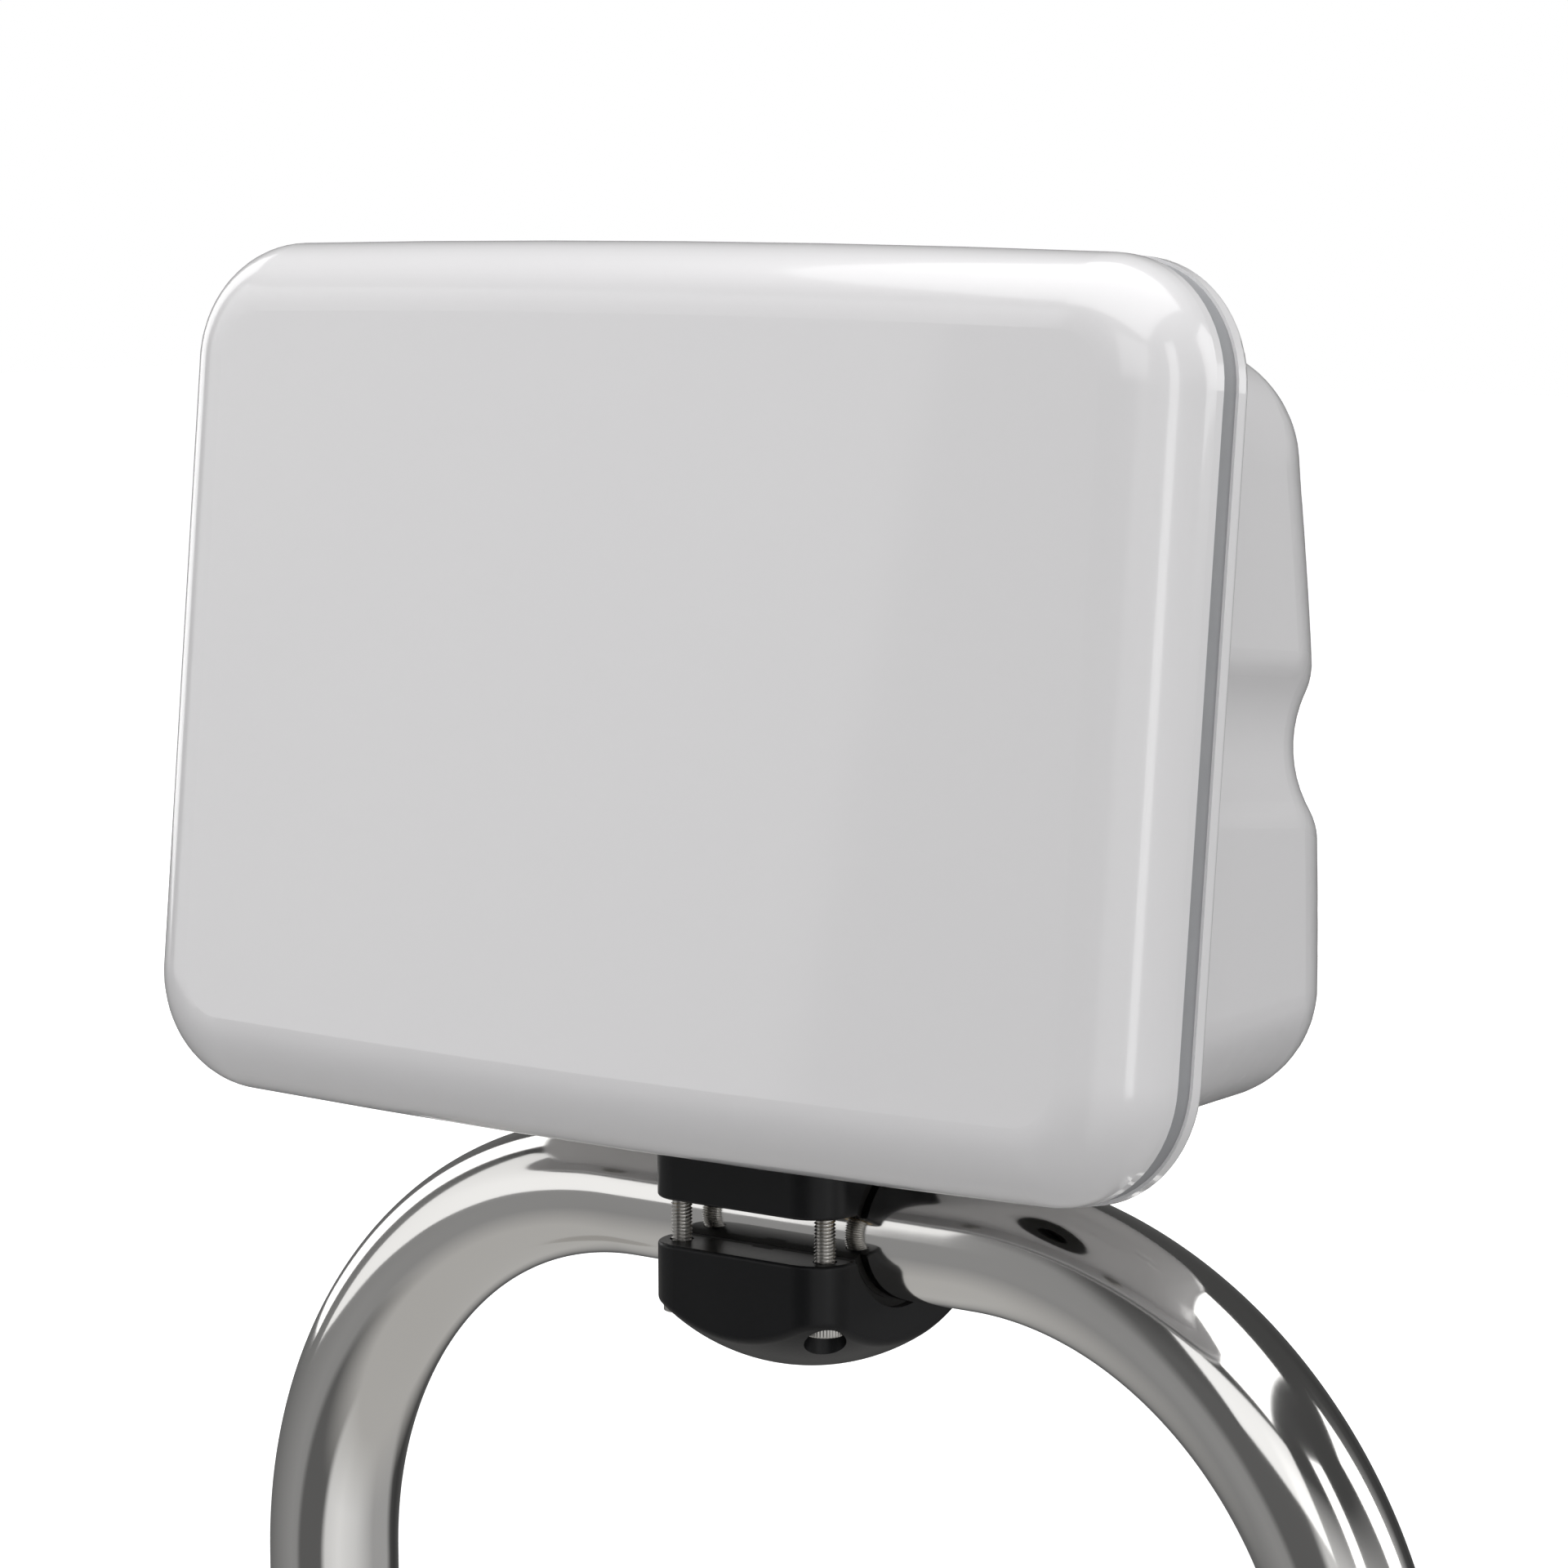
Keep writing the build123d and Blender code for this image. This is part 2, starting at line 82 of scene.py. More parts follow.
# %% A socket that does arithmetic
class Wire:
    """An output socket, or an expression on sockets: + - * / each add a Math node."""

    def __init__(self, finish, socket):
        self.finish = finish
        self.socket = socket

    def _math(self, operation, first, second):
        return self.finish.node(
            "ShaderNodeMath", {"operation": operation}, {0: first, 1: second}
        )

    def __add__(self, other):
        return self._math("ADD", self, other)

    def __radd__(self, other):
        return self._math("ADD", other, self)

    def __sub__(self, other):
        return self._math("SUBTRACT", self, other)

    def __rsub__(self, other):
        return self._math("SUBTRACT", other, self)

    def __mul__(self, other):
        return self._math("MULTIPLY", self, other)

    def __rmul__(self, other):
        return self._math("MULTIPLY", other, self)

    def __truediv__(self, other):
        return self._math("DIVIDE", self, other)

# %% A finish: one material and the means to wire it
# A Mix node has sockets for every kind of data, and these are the ones for colours.
MIX_FACTOR = 0
MIX_FIRST = 6
MIX_SECOND = 7
MIX_RESULT = 2


class Finish:
    """A procedural material. The constant values sit on the shader's own sockets."""

    def __init__(self, name, **constants):
        self.material = bpy.data.materials.new(name)
        self.material.use_nodes = True
        self.tree = self.material.node_tree
        self.shader = self.tree.nodes["Principled BSDF"]
        for socket, value in constants.items():
            self.shader.inputs[socket.replace("_", " ")].default_value = value

    def node(self, kind, settings=None, inputs=None, output=0):
        """Adds a node: its settings first, then values or links for its sockets."""
        made = self.tree.nodes.new(kind)
        for setting, value in (settings or {}).items():
            if setting == "stops":
                self._set_stops(made.color_ramp, value)
            else:
                setattr(made, setting, value)
        for socket, value in (inputs or {}).items():
            self._feed(made.inputs[socket], value)
        return Wire(self, made.outputs[output])

    def _set_stops(self, ramp, stops):
        """Greys at places from 0 to 1 along a ramp, in order."""
        ramp.elements.remove(ramp.elements[1])
        ramp.elements[0].position = stops[0][0]
        for place, _ in stops[1:]:
            ramp.elements.new(place)
        for element, (_, grey) in zip(ramp.elements, stops):
            element.color = (grey, grey, grey, 1)

    def _feed(self, socket, value):
        """Links a wire to a socket, or sets the socket to a plain value."""
        if isinstance(value, Wire):
            self.tree.links.new(value.socket, socket)
        else:
            socket.default_value = value

    def drive(self, socket, value):
        """Feeds one of the shader's sockets with something that changes over the surface."""
        self._feed(self.shader.inputs[socket], value)

    def place(self, stretch=(1, 1, 1)):
        """Object coordinates in metres, stretched where a pattern runs one way."""
        where = self.node("ShaderNodeTexCoord", output="Object")
        return self.node("ShaderNodeMapping", {}, {"Vector": where, "Scale": stretch})

    def noise(self, size, detail, stretch=(1, 1, 1)):
        """Soft noise from 0 to 1 whose features are about `size` metres across."""
        return self.node(
            "ShaderNodeTexNoise",
            {"noise_dimensions": "3D"},
            {"Vector": self.place(stretch), "Scale": 1 / size, "Detail": detail},
        )

    def band(self, value, low, high):
        """0 below low, 1 above high, and a straight ramp between."""
        return self.node(
            "ShaderNodeMapRange",
            {"clamp": True},
            {"Value": value, "From Min": low, "From Max": high},
        )

    def mix(self, factor, first, second):
        """One colour turning into another. Each is three numbers, or another colour's wire."""
        inputs = {MIX_FACTOR: factor}
        for socket, colour in ((MIX_FIRST, first), (MIX_SECOND, second)):
            inputs[socket] = (*colour, 1) if isinstance(colour, tuple) else colour
        return self.node("ShaderNodeMix", {"data_type": "RGBA"}, inputs, output=MIX_RESULT)

    def bump(self, *layers):
        """Stacks bumps, each a height pattern and its depth in metres, on the shader's normal."""
        normal = None
        for height, depth in layers:
            inputs = {"Height": height, "Distance": depth, "Strength": 1.0}
            if normal is not None:
                inputs["Normal"] = normal
            normal = self.node("ShaderNodeBump", {}, inputs)
        self.drive("Normal", normal)


# %% [markdown]
# ## Gelcoat white
#
# Both shells are moulded with a hard glossy skin. One value for its colour and one for its gloss
# would look drawn, so three faint things are layered on it: a cloudy drift in the white, a gloss
# that drifts with it by a few hundredths, and the orange peel that every sprayed or moulded gloss
# has. They stay faint, because on so plain a face anything stronger looks like dirt. A clear coat
# gives the sharp second reflection.

# %% White gelcoat
def white_gelcoat():
    finish = Finish(
        "white_gelcoat",
        Coat_Roughness=0.05,
        Coat_IOR=1.5,
        Specular_IOR_Level=0.5,
    )
    clouds = finish.noise(110 * MM, detail=2)
    finish.drive("Base Color", finish.mix(clouds, (0.808, 0.800, 0.812), (0.828, 0.820, 0.826)))
    finish.drive("Roughness", 0.20 + clouds * 0.04)
    finish.drive("Coat Weight", 0.62 + clouds * 0.08)
    peel = finish.noise(4.5 * MM, detail=1)
    finish.bump((peel, 0.002 * MM))
    return finish.material


# %% [markdown]
# ## The grey seal
#
# The line between the shells is a soft elastomer, moulded with a fine matt texture that keeps it
# from looking like paint. Its grey is mottled a little, as rubber is after a season outdoors.

# %% Grey elastomer
def grey_seal():
    finish = Finish("grey_seal", Specular_IOR_Level=0.4)
    mottle = finish.noise(6 * MM, detail=4)
    grain = finish.noise(0.35 * MM, detail=2)
    finish.drive("Base Color", finish.mix(mottle, (0.31, 0.315, 0.327), (0.35, 0.354, 0.365)))
    finish.drive("Roughness", 0.46 + grain * 0.16)
    finish.bump((grain, 0.01 * MM))
    return finish.material


# %% [markdown]
# ## Mirror-polished tube
#
# Guard tube is polished to a mirror, so nearly all that it shows is its surroundings. What tells the
# eye that it is steel and not plating is a trace of warmth, hair-fine polishing lines that run along
# the tube and round its bends, and the slight waviness that bending leaves in the wall. A pattern on
# plain coordinates would cut across the bends, so this one reads an attribute that the hoop carries:
# how far along the tube a point is, and where it is on the ring.

# %% Polished stainless
def polished_stainless():
    finish = Finish("polished_stainless", Metallic=1.0)
    where = finish.node("ShaderNodeAttribute", {"attribute_name": "tube_place"}, output="Vector")

    def along_tube(size, stretch, detail):
        drawn = finish.node("ShaderNodeMapping", {}, {"Vector": where, "Scale": stretch})
        return finish.node(
            "ShaderNodeTexNoise",
            {"noise_dimensions": "3D"},
            {"Vector": drawn, "Scale": 1 / size, "Detail": detail},
        )

    drift = along_tube(50 * MM, stretch=(0.6, 1, 1), detail=2)
    hairs = along_tube(1 * MM, stretch=(0.04, 1, 1), detail=3)
    smears = along_tube(14 * MM, stretch=(0.7, 1, 1), detail=4)
    finish.drive("Base Color", finish.mix(drift, (0.70, 0.688, 0.668), (0.76, 0.752, 0.738)))
    finish.drive("Roughness", 0.05 + smears * 0.05 + hairs * 0.03)
    finish.bump((drift, 0.5 * MM), (hairs, 0.0015 * MM))
    return finish.material


# %% [markdown]
# ## Turned steel and brass
#
# Bolts, washers and inserts come off a lathe. A noise squeezed along the upright axis gives their
# sides a fine ripple, as a tool leaves it, and both metals carry a thin film of handling that dulls
# them in patches.

# %% Turned metals
def turned_metal(name, dark, light, gloss):
    finish = Finish(name, Metallic=1.0)
    film = finish.noise(4 * MM, detail=4)
    rings = finish.noise(0.4 * MM, detail=2, stretch=(0.15, 0.15, 1))
    finish.drive("Base Color", finish.mix(film, dark, light))
    finish.drive("Roughness", gloss + film * 0.14 + rings * 0.06)
    finish.bump((rings, 0.008 * MM))
    return finish.material


# %% [markdown]
# ## Black nylon and rubber
#
# The clamp is glass-filled nylon: black, satin, with the fine spark-eroded grain of its mould. The
# liners and the grommet are rubber, duller and with a trace of dust on it.

# %% Satin black nylon
def black_nylon():
    finish = Finish("black_nylon", Specular_IOR_Level=0.22)
    grain = finish.noise(0.7 * MM, detail=3)
    flow = finish.noise(20 * MM, detail=3)
    finish.drive("Base Color", finish.mix(flow, (0.0065, 0.0067, 0.0075), (0.0105, 0.0107, 0.0117)))
    finish.drive("Roughness", 0.27 + flow * 0.10 + grain * 0.06)
    finish.bump((grain, 0.012 * MM))
    return finish.material


# %% Black rubber
def black_rubber():
    finish = Finish("black_rubber", Specular_IOR_Level=0.35)
    dust = finish.noise(5 * MM, detail=5)
    grain = finish.noise(0.6 * MM, detail=2)
    finish.drive("Base Color", finish.mix(dust, (0.010, 0.010, 0.010), (0.022, 0.021, 0.020)))
    finish.drive("Roughness", 0.58 + dust * 0.18)
    finish.bump((grain, 0.02 * MM))
    return finish.material


# %% [markdown]
# ## Handing the finishes out
#
# The record that comes with the parts says, for each of them, which finish it has. So no part needs
# a line of its own here: one loop gives every node the finish that its slot names. The plain
# materials that the parts arrived in are then on nothing, and are cleared away.

# %% Every CAD node takes the finish that its slot names
finishes = {
    "white_gelcoat": white_gelcoat(),
    "grey_seal": grey_seal(),
    "polished_stainless": polished_stainless(),
    "stainless_fastener": turned_metal(
        "stainless_fastener", (0.47, 0.46, 0.44), (0.60, 0.59, 0.57), gloss=0.20
    ),
    "brass": turned_metal("brass", (0.60, 0.41, 0.16), (0.76, 0.57, 0.27), gloss=0.24),
    "black_nylon": black_nylon(),
    "black_rubber": black_rubber(),
}
for part in frame["record"]["subparts"]:
    piece = nodes[part["node"]]
    piece.data.materials.clear()
    piece.data.materials.append(finishes[part["material_slot"]])
for material in [m for m in bpy.data.materials if m.users == 0]:
    bpy.data.materials.remove(material)
for slot, material in finishes.items():
    material.name = slot
print("finishes:", ", ".join(sorted(f.name for f in bpy.data.materials)))

# %% [markdown]
# ## Modelling by hand, in code
#
# The CAD nodes are exact, but some of them are plainer than the real thing: its bolts have no
# threads and its screws no rounded heads. Those pieces are modelled again here, with the tools that
# a person would use: a primitive at its size, then edit mode, then modifiers. Every operator acts on
# whatever is selected, so each step below first says what that is.

# %% Selecting and editing a piece
FACES_THAT_WAY = 0.9  # how much of a face's normal has to point up or down


def start():
    """Leaves nothing selected, so that a new primitive stands alone."""
    bpy.ops.object.select_all(action="DESELECT")


def hold(piece):
    """Makes one piece the selected and active object."""
    start()
    piece.select_set(True)
    bpy.context.view_layer.objects.active = piece


def edit(piece):
    """Opens a piece in edit mode with all of it selected."""
    hold(piece)
    bpy.ops.object.mode_set(mode="EDIT")
    bpy.ops.mesh.select_all(action="SELECT")


def close():
    """Leaves edit mode."""
    bpy.ops.object.mode_set(mode="OBJECT")


def pick(piece, kind, test):
    """In edit mode, selects just the vertices, edges or faces whose middle passes a test."""
    bpy.ops.mesh.select_mode(type=kind)
    bpy.ops.mesh.select_all(action="DESELECT")
    shape = bmesh.from_edit_mesh(piece.data)
    for element in {"VERT": shape.verts, "EDGE": shape.edges, "FACE": shape.faces}[kind]:
        corners = [element] if kind == "VERT" else element.verts
        middle = sum((corner.co for corner in corners), Vector()) / len(corners)
        if test(middle, element):
            element.select_set(True)
    shape.select_flush_mode()
    bmesh.update_edit_mesh(piece.data)


def looks_up(middle, face):
    return face.normal.z > FACES_THAT_WAY


def looks_down(middle, face):
    return face.normal.z < -FACES_THAT_WAY


# %% Finishing a piece
CREASE = math.radians(35)


def modify(piece, kind, **settings):
    """Adds a modifier, sets it and applies it at once."""
    made = piece.modifiers.new(kind.lower(), kind)
    for setting, value in settings.items():
        setattr(made, setting, value)
    hold(piece)
    bpy.ops.object.modifier_apply(modifier=made.name)


def settle(piece):
    """Moves a piece's place, turn and scale into its mesh, and leaves the object at the origin."""
    hold(piece)
    bpy.ops.object.transform_apply(location=True, rotation=True, scale=True)


def cut_away(piece, tool):
    """Subtracts a tool from a piece, and clears the tool off the bench."""
    modify(piece, "BOOLEAN", operation="DIFFERENCE", object=tool, solver="EXACT")
    bpy.data.objects.remove(tool)


def join(pieces, name):
    """Makes several meshes one object."""
    hold(pieces[0])
    for piece in pieces[1:]:
        piece.select_set(True)
    bpy.ops.object.join()
    pieces[0].name = name
    return pieces[0]


def copy_of(piece, name):
    """A copy with a mesh of its own."""
    made = piece.copy()
    made.data = piece.data.copy()
    made.name = name
    bpy.context.scene.collection.objects.link(made)
    return made


def complete(piece, node, body, slot):
    """Shades a finished piece, gives it its finish, and lets it stand for its CAD node."""
    settle(piece)
    bpy.ops.object.shade_smooth_by_angle(angle=CREASE)
    piece.data.materials.clear()
    piece.data.materials.append(finishes[slot])
    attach(piece, body)
    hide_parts(node)


def reach_of(points):
    """Lowest and highest corner of a set of points."""
    low = Vector(min(point[i] for point in points) for i in range(3))
    high = Vector(max(point[i] for point in points) for i in range(3))
    return low, high


def describe(piece):
    """Prints a piece's size in millimetres and its number of faces."""
    low, high = reach_of([vertex.co for vertex in piece.data.vertices])
    size = " x ".join(f"{(b - a) / MM:.2f}" for a, b in zip(low, high))
    print(f"{piece.name}: {size} mm, {len(piece.data.polygons)} faces")


# %% [markdown]
# ## The hoop
#
# The guard is one length of tube with a bend to each leg. A curve with a round bevel would give it
# in one go, but its rings would bunch in the bends, and a mirror shows that. So a ring of points is
# drawn up the first leg, spun through a quarter turn, drawn along the top, spun again and drawn
# down. The rings stand evenly, and every highlight runs clean. The wall comes last, inwards, and the
# cut ends are deburred with a small bevel.

# %% Tube
TUBE_WALL = 1.65 * MM
DEBURR = 0.4 * MM
SHARP_EDGE = 1.0  # radians between two faces
RING_JOIN = 0.01 * MM
RING_POINTS = 128
BEND_STEPS = 96
leg = next(m for m in frame["record"]["mounts"] if m["name"] == "left_leg")
LEG_STUB = leg["dims"]["length_mm"] * MM
BEND_R = TUBE_Z - LEG_STUB
TOP_HALF = LEG_X - BEND_R


def draw(x, y, z):
    """Extrudes what is selected by a distance."""
    bpy.ops.mesh.extrude_region_move(TRANSFORM_OT_translate={"value": (x, y, z)})


def quarter_turn(centre_x):
    """Spins the selected ring over one bend. With no window a spin turns the other way."""
    bpy.ops.mesh.spin(
        steps=BEND_STEPS,
        angle=-math.pi / 2,
        center=(centre_x, 0, LEG_STUB),
        axis=(0, 1, 0),
    )


def make_hoop():
    """From the cut end of one leg to the cut end of the other."""
    start()
    bpy.ops.mesh.primitive_circle_add(
        vertices=RING_POINTS, radius=TUBE_R, location=(-LEG_X, 0, hoop_low.z)
    )
    piece = bpy.context.object
    piece.name = "polished_hoop"
    settle(piece)
    edit(piece)
    draw(0, 0, LEG_STUB)
    quarter_turn(-TOP_HALF)
    draw(2 * TOP_HALF, 0, 0)
    quarter_turn(TOP_HALF)
    draw(0, 0, -LEG_STUB)
    bpy.ops.mesh.select_all(action="SELECT")
    bpy.ops.mesh.remove_doubles(threshold=RING_JOIN)
    bpy.ops.mesh.normals_make_consistent(inside=False)
    close()
    modify(piece, "SOLIDIFY", thickness=TUBE_WALL, offset=-1, use_rim=True)
    modify(
        piece, "BEVEL", width=DEBURR, segments=3, limit_method="ANGLE", angle_limit=SHARP_EDGE
    )
    return piece


def place_on_tube(point):
    """Distance along the tube's axis from the middle of the top, then the place on the ring."""
    side = math.copysign(1, point.x)
    if abs(point.x) <= TOP_HALF:
        return Vector((point.x, point.y, point.z - TUBE_Z))
    if point.z <= LEG_STUB:
        length = TOP_HALF + BEND_R * math.pi / 2 + LEG_STUB - point.z
        return Vector((side * length, point.y, abs(point.x) - LEG_X))
    out, up = abs(point.x) - TOP_HALF, point.z - LEG_STUB
    length = TOP_HALF + BEND_R * math.atan2(out, up)
    return Vector((side * length, point.y, math.hypot(out, up) - BEND_R))


hoop = make_hoop()
describe(hoop)
places = hoop.data.attributes.new("tube_place", "FLOAT_VECTOR", "POINT")
for vertex in hoop.data.vertices:
    places.data[vertex.index].vector = place_on_tube(vertex.co)
complete(hoop, "guard_hoop", "guard", "polished_stainless")

# %% [markdown]
# ## Threaded bolts
#
# Four M5 cap screws draw the jaws together, and between the jaws their threads show. A thread is one
# small triangle carried up a helix, which is what the Screw modifier does. It is wound on a plain
# core, so the ridge and the core can each stay a simple closed solid. The head is a cylinder whose
# every third edge is pulled in for the knurl, with a hexagon sunk into its end.

# %% One bolt, modelled head down at the origin
HEAD_H = 5.0 * MM
PITCH = 0.8 * MM
THREAD_DEPTH = 0.40 * MM
PLAIN_SHANK = 9.0 * MM
SOCKET_ACROSS = 4.0 * MM
SOCKET_DEPTH = 2.6 * MM
KNURL_POINTS = 96
KNURL_EVERY = 3
KNURL_PULL = 0.965
HEAD_EASE = 0.35 * MM
CORE_POINTS = 48
TIP_CHAMFER = 0.4 * MM
bolt_low, bolt_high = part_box("clamp_bolt_1")
HEAD_R = (bolt_high.x - bolt_low.x) / 2
BOLT_R = 2.45 * MM
BOLT_LEN = bolt_high.z - bolt_low.z - HEAD_H


def make_bolt_head():
    """A knurled cylinder with eased ends, and a hexagon sunk into the lower one."""
    start()
    bpy.ops.mesh.primitive_cylinder_add(
        vertices=KNURL_POINTS, radius=HEAD_R, depth=HEAD_H, location=(0, 0, -HEAD_H / 2)
    )
    head = bpy.context.object
    settle(head)
    edit(head)

    def in_knurl(middle, edge):
        first, second = edge.verts
        upright = abs(first.co.z - second.co.z) > HEAD_H / 2
        step = round(math.atan2(middle.y, middle.x) / math.tau * KNURL_POINTS)
        return upright and step % KNURL_EVERY == 0

    pick(head, "EDGE", in_knurl)
    bpy.ops.transform.resize(
        value=(KNURL_PULL, KNURL_PULL, 1), center_override=(0, 0, -HEAD_H / 2)
    )
    pick(head, "FACE", lambda middle, face: looks_up(middle, face) or looks_down(middle, face))
    bpy.ops.mesh.bevel(offset=HEAD_EASE, segments=3, affect="EDGES", clamp_overlap=True)
    close()
    start()
    bpy.ops.mesh.primitive_cylinder_add(
        vertices=6,
        radius=SOCKET_ACROSS / 2 / math.cos(math.pi / 6),
        depth=2 * SOCKET_DEPTH,
        location=(0, 0, -HEAD_H),
    )
    cut_away(head, bpy.context.object)
    return head


def make_bolt_core():
    """Thick below the head, and thinner by the thread's depth above it."""
    core_r = BOLT_R - THREAD_DEPTH
    start()
    bpy.ops.mesh.primitive_cylinder_add(
        vertices=CORE_POINTS, radius=core_r, depth=BOLT_LEN, location=(0, 0, BOLT_LEN / 2)
    )
    core = bpy.context.object
    settle(core)
    for height in (PLAIN_SHANK, PLAIN_SHANK - THREAD_DEPTH):
        edit(core)
        bpy.ops.mesh.bisect(plane_co=(0, 0, height), plane_no=(0, 0, 1))
        close()
    edit(core)
    pick(core, "VERT", lambda middle, vertex: middle.z < PLAIN_SHANK - THREAD_DEPTH / 2)
    swell = BOLT_R / core_r
    bpy.ops.transform.resize(value=(swell, swell, 1), center_override=(0, 0, 0))
    pick(core, "FACE", looks_up)
    bpy.ops.mesh.bevel(offset=TIP_CHAMFER, segments=2, affect="EDGES", clamp_overlap=True)
    close()
    return core


# %% The thread, rooted a little inside the core and with a hair of space between its turns
RIDGE_DEPTH = 1.15 * THREAD_DEPTH
RIDGE_RISE = 0.97 * PITCH
STEPS_A_TURN = 28
SAME_POINT = 0.001 * MM


def make_thread():
    """A triangle of one pitch, wound up the core by the Screw modifier and capped at both ends."""
    start()
    bpy.ops.mesh.primitive_circle_add(vertices=3, radius=THREAD_DEPTH)
    ridge = bpy.context.object
    ridge.rotation_euler = (math.pi / 2, math.pi / 2, 0)
    settle(ridge)
    low, high = reach_of([vertex.co for vertex in ridge.data.vertices])
    deep, tall = high.x - low.x, high.z - low.z
    edit(ridge)
    bpy.ops.transform.resize(value=(RIDGE_DEPTH / deep, 1, RIDGE_RISE / tall))
    close()
    tip = max(vertex.co.x for vertex in ridge.data.vertices)
    ridge.location = (BOLT_R - tip, 0, PLAIN_SHANK)
    settle(ridge)
    modify(
        ridge,
        "SCREW",
        axis="Z",
        angle=math.tau,
        screw_offset=PITCH,
        iterations=int((BOLT_LEN - PLAIN_SHANK) / PITCH) - 1,
        steps=STEPS_A_TURN,
        render_steps=STEPS_A_TURN,
    )
    edit(ridge)
    bpy.ops.mesh.remove_doubles(threshold=SAME_POINT)
    bpy.ops.mesh.select_mode(type="EDGE")
    bpy.ops.mesh.select_all(action="DESELECT")
    bpy.ops.mesh.select_non_manifold()
    bpy.ops.mesh.fill_holes(sides=3)
    bpy.ops.mesh.select_all(action="SELECT")
    bpy.ops.mesh.normals_make_consistent(inside=False)
    close()
    return ridge


bolt = join([make_bolt_head(), make_bolt_core(), make_thread()], "threaded_bolt")
describe(bolt)

# %% Four copies, each turned a little differently as a hand would leave them
BOLT_TURN = 0.9  # radians from one bolt to the next
for number in range(1, 5):
    node = f"clamp_bolt_{number}"
    low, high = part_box(node)
    piece = copy_of(bolt, f"threaded_bolt_{number}")
    piece.rotation_euler = (0, 0, BOLT_TURN * number)
    piece.location = ((low.x + high.x) / 2, (low.y + high.y) / 2, low.z + HEAD_H)
    complete(piece, node, f"bolt_{number}", "stainless_fastener")
bpy.data.objects.remove(bolt)
print("four bolts of", round(BOLT_LEN / MM, 1), "mm")

# %% [markdown]
# ## Pan-head screws
#
# Twelve small screws round the flange hold the shells together. They sit in shallow sinks, and what
# one sees of them is the crowned rim of the head and the cross in it. The head is a cylinder with
# its upper edge bevelled over most of its height. The cross is cut by two tapered blades. Where each
# screw goes is read from the CAD: its node holds twelve separate solids, and a solid's points give
# its middle.

# %% Which way the pod faces, and where its screws are
front = next(m for m in frame["record"]["mounts"] if m["name"] == "instrument_face")
FORWARDS = Vector(front["axis"]).normalized()


def solids_of(node):
    """The points of each separate solid in a CAD node, from a merged copy of its mesh."""
    shape = bmesh.new()
    shape.from_mesh(nodes[node].data)
    bmesh.ops.remove_doubles(shape, verts=shape.verts, dist=SAME_POINT)
    found, met = [], set()
    for first in shape.verts:
        if first in met:
            continue
        met.add(first)
        solid, waiting = [], [first]
        while waiting:
            here = waiting.pop()
            solid.append(here.co.copy())
            others = [edge.other_vert(here) for edge in here.link_edges]
            fresh = [other for other in others if other not in met]
            met.update(fresh)
            waiting.extend(fresh)
        found.append(solid)
    shape.free()
    return found


screw_points = solids_of("cover_screws")
print(len(screw_points), "screws found in the flange")

# %% One screw, modelled head up at the origin
PAN_R = 3.4 * MM
PAN_H = 2.2 * MM
PAN_POINTS = 64
PAN_CROWN = 1.3 * MM
PAN_SCREW_R = 1.75 * MM
BLADE = (3.8 * MM, 0.8 * MM, 2.8 * MM)
BLADE_TAPER = (0.5, 0.6, 1)
along = [point.dot(FORWARDS) for point in screw_points[0]]
PAN_SCREW_LEN = max(along) - min(along) - PAN_H


def make_pan_screw():
    """The head bevelled over most of its height, the shank drawn from below it, then the cross."""
    start()
    bpy.ops.mesh.primitive_cylinder_add(
        vertices=PAN_POINTS, radius=PAN_R, depth=PAN_H, location=(0, 0, PAN_H / 2)
    )
    screw = bpy.context.object
    screw.name = "pan_screw"
    settle(screw)
    edit(screw)
    pick(screw, "FACE", looks_up)
    bpy.ops.mesh.bevel(offset=PAN_CROWN, segments=6, affect="EDGES", clamp_overlap=True)
    pick(screw, "FACE", looks_down)
    bpy.ops.mesh.inset(thickness=PAN_R - PAN_SCREW_R)
    draw(0, 0, -PAN_SCREW_LEN)
    bpy.ops.mesh.bevel(offset=TIP_CHAMFER, segments=2, affect="EDGES", clamp_overlap=True)
    close()
    for turn in (0, math.pi / 2):
        start()
        bpy.ops.mesh.primitive_cube_add(size=1, location=(0, 0, PAN_H))
        blade = bpy.context.object
        blade.scale = BLADE
        settle(blade)
        edit(blade)
        pick(blade, "FACE", looks_down)
        bpy.ops.transform.resize(value=BLADE_TAPER, center_override=(0, 0, PAN_H))
        close()
        blade.rotation_euler = (0, 0, turn)
        settle(blade)
        cut_away(screw, blade)
    return screw


pan_screw = make_pan_screw()
describe(pan_screw)

# %% Twelve copies in the flange
SCREW_TURN = 1.3  # radians from one screw to the next
backwards = (-FORWARDS).to_track_quat("Z", "X").to_matrix().to_4x4()
for number, points in enumerate(screw_points, start=1):
    low, high = reach_of(points)
    middle = (low + high) / 2
    seat = middle - FORWARDS * (middle.dot(FORWARDS) - min(p.dot(FORWARDS) for p in points))
    piece = copy_of(pan_screw, f"pan_screw_{number}")
    twist = Matrix.Rotation(SCREW_TURN * number, 4, "Z")
    piece.matrix_world = Matrix.Translation(seat + FORWARDS * PAN_H) @ backwards @ twist
    complete(piece, "cover_screws", "pod", "stainless_fastener")
bpy.data.objects.remove(pan_screw)
print(len(screw_points), "pan-head screws")

# %% [markdown]
# ## The floor
#
# The legs stand on pale paper. Lit paper alone would be grey and would end in a horizon, so this one
# glows a little, and more with distance, until it meets the white backdrop. The glow is for the
# camera alone. Everything else meets mid-grey paper, which leaves the undersides soft and dark, and
# mirrors don't see the floor at all: so bright a sheet below the tube would wash its dark lines out.

